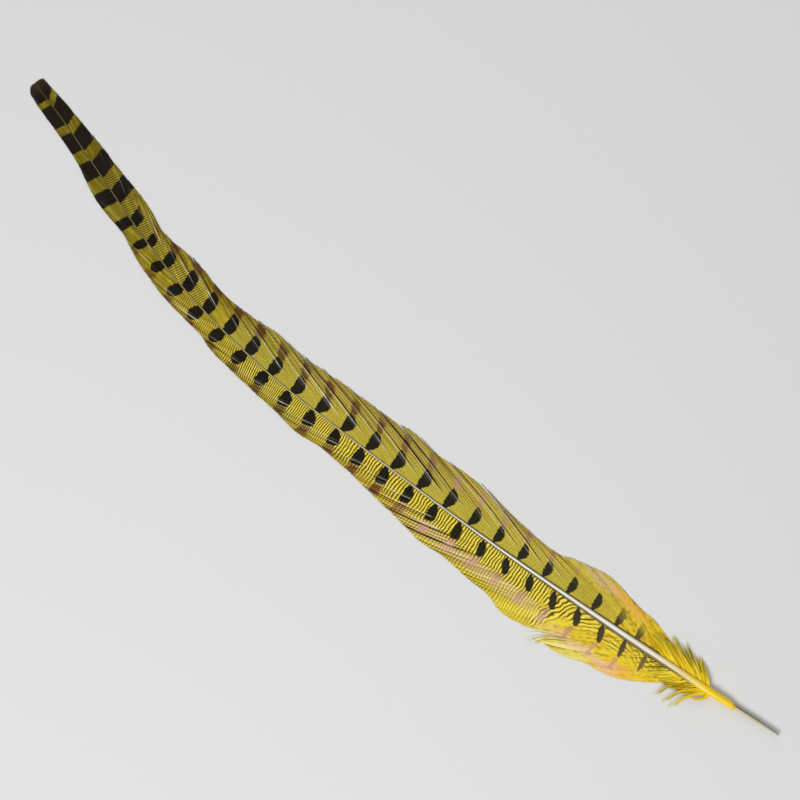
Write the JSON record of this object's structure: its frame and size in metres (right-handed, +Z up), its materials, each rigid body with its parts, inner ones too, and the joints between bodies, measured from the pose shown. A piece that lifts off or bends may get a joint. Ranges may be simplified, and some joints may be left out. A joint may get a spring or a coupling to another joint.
{
  "type": "pheasant tail feather",
  "caption": "Long tapering tail feather lying flat: a bowed shaft from a bare pointed quill, a barred vane on each side and loose down at the foot of the vanes.",
  "frame": {"origin": "middle of the feather's outline, on the surface it lies on", "axes": "+X from the quill's end towards the feather's tip, +Y towards the left vane, +Z up from the surface"},
  "size_m": [0.4956, 0.0501, 0.0051],
  "materials": {
    "horn": "smooth glossy keratin, pale cream to grey, saturated yellow at the quill and bare at its point",
    "vane": "satin hooked barbs dyed golden yellow, with dark brown bars and reddish brown patches",
    "down": "soft loose downy barbs dyed bright yellow"
  },
  "bodies": {
    "root": {"shaft": "horn", "vane_left": "vane", "vane_right": "vane", "down_left": "down", "down_right": "down"}
  },
  "joints": []
}
